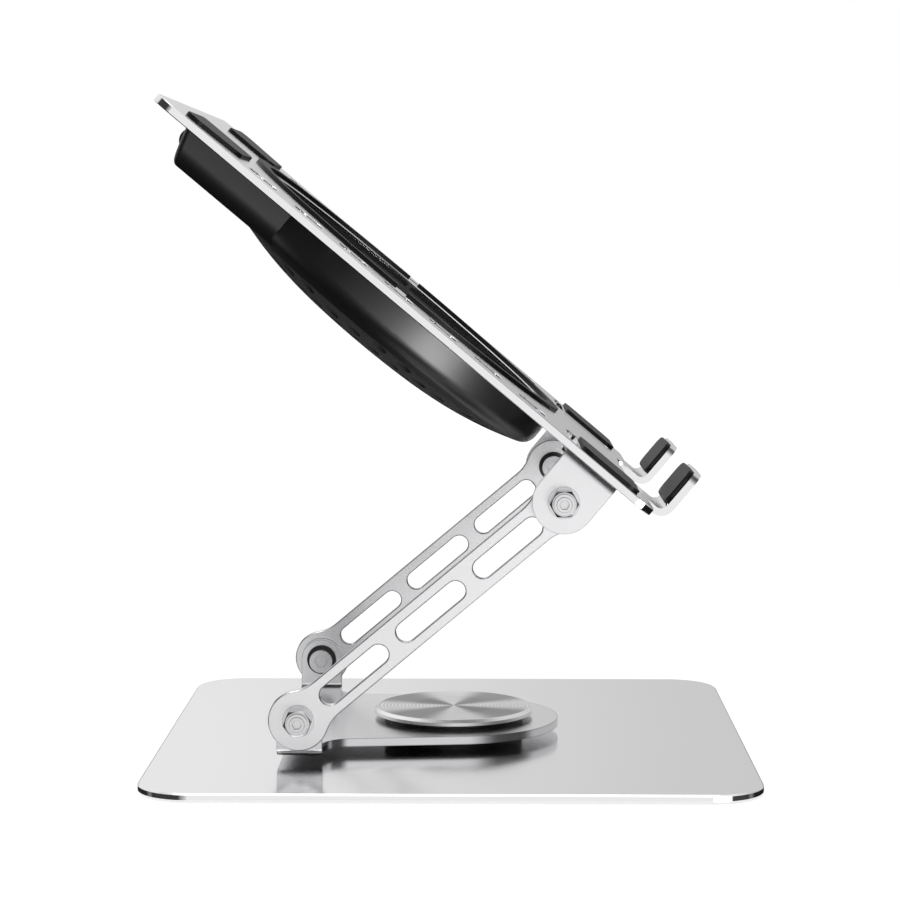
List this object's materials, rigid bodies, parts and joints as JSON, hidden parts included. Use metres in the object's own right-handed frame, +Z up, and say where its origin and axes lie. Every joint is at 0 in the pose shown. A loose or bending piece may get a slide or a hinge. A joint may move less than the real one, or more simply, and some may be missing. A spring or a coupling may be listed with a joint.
{
  "type": "laptop stand",
  "caption": "Adjustable laptop stand: swivel base, two folding arms, tilting tray with front hooks, rubber pads and a cooling fan beneath.",
  "frame": {"origin": "centre of the base, on the surface that it stands on", "axes": "+Z up, the user sits at -Y and faces +Y, +X to the user's right; the base swivels about Z"},
  "size_m": [0.24, 0.24, 0.2645],
  "materials": {
    "base_steel": "satin plate with a polished bevel",
    "hub_steel": "turned",
    "turned_steel": "turned face with fine rings",
    "screw_steel": "zinc plated",
    "washer_steel": "zinc plated",
    "nut_steel": "zinc plated",
    "bracket_metal": "fine blasted satin",
    "arm_metal": "fine blasted satin",
    "tray_metal": "fine blasted satin with bright bevels",
    "black_nylon": "smooth",
    "foot_rubber": "matte",
    "pad_rubber": "fine matte",
    "housing_plastic": "fine satin",
    "grille_plastic": "satin",
    "rotor_plastic": "satin",
    "dial_plastic": "gloss",
    "light_board": "circuit board",
    "motor_metal": "wound stator",
    "socket_metal": "plated shell"
  },
  "bodies": {
    "base": {"base_plate": "base_steel", "base_feet": "foot_rubber", "swivel_hub": "hub_steel", "swivel_cap": "turned_steel", "hub_screws": "screw_steel", "thrust_washer_lower": "black_nylon", "thrust_washer_upper": "black_nylon"},
    "swivel": {"swivel_bracket": "bracket_metal", "lower_pivot_screws": "screw_steel", "lower_head_rings": "black_nylon", "lower_slip_washers": "black_nylon", "lower_nut_washers": "washer_steel", "lower_pivot_nuts": "nut_steel"},
    "left_arm": {"arm_left": "arm_metal"},
    "right_arm": {"arm_right": "arm_metal"},
    "tray": {"tray_plate": "tray_metal", "tray_bracket": "bracket_metal", "bracket_screws": "screw_steel", "upper_pivot_screws": "screw_steel", "upper_head_rings": "black_nylon", "upper_slip_washers": "black_nylon", "upper_nut_washers": "washer_steel", "upper_pivot_nuts": "nut_steel", "rear_pad_left": "pad_rubber", "rear_pad_right": "pad_rubber", "front_pad_left": "pad_rubber", "front_pad_right": "pad_rubber", "hook_pad_left": "pad_rubber", "hook_pad_right": "pad_rubber", "ring_pad_rear": "pad_rubber", "ring_pad_front": "pad_rubber", "fan_housing": "housing_plastic", "housing_screws": "screw_steel", "fan_grille": "grille_plastic", "led_ring": "light_board", "fan_motor": "motor_metal", "control_board": "light_board", "usb_socket": "socket_metal", "speed_control": "grille_plastic"},
    "rotor": {"fan_rotor": "rotor_plastic"},
    "dial": {"speed_dial": "dial_plastic"}
  },
  "joints": [
    {"name": "base_swivel", "type": "hinge", "parent": "base", "child": "swivel", "pos_m": [0, 0, 0.0065], "axis": [0, 0, 1], "continuous": true},
    {"name": "arm_lift", "type": "hinge", "parent": "swivel", "child": "left_arm", "pos_m": [0, 0.0602, 0.0219], "axis": [-1, 0, 0], "range_deg": [-27, 35]},
    {"name": "arm_lift_right", "type": "hinge", "parent": "swivel", "child": "right_arm", "pos_m": [0, 0.0602, 0.0219], "axis": [-1, 0, 0], "range_deg": [-27, 35]},
    {"name": "tray_tilt", "type": "hinge", "parent": "left_arm", "child": "tray", "pos_m": [0, -0.04383, 0.10888], "axis": [-1, 0, 0], "range_deg": [-15, 50]},
    {"name": "fan_spin", "type": "hinge", "parent": "tray", "child": "rotor", "pos_m": [0, 0.02705, 0.18154], "axis": [0, -0.6428, 0.766], "continuous": true},
    {"name": "dial_turn", "type": "hinge", "parent": "tray", "child": "dial", "pos_m": [-0.044, 0.10357, 0.24966], "axis": [-1, 0, 0], "range_deg": [0, 270]}
  ],
  "couplings": [
    {"joint": "arm_lift_right", "follows": "arm_lift", "ratio": 1}
  ]
}
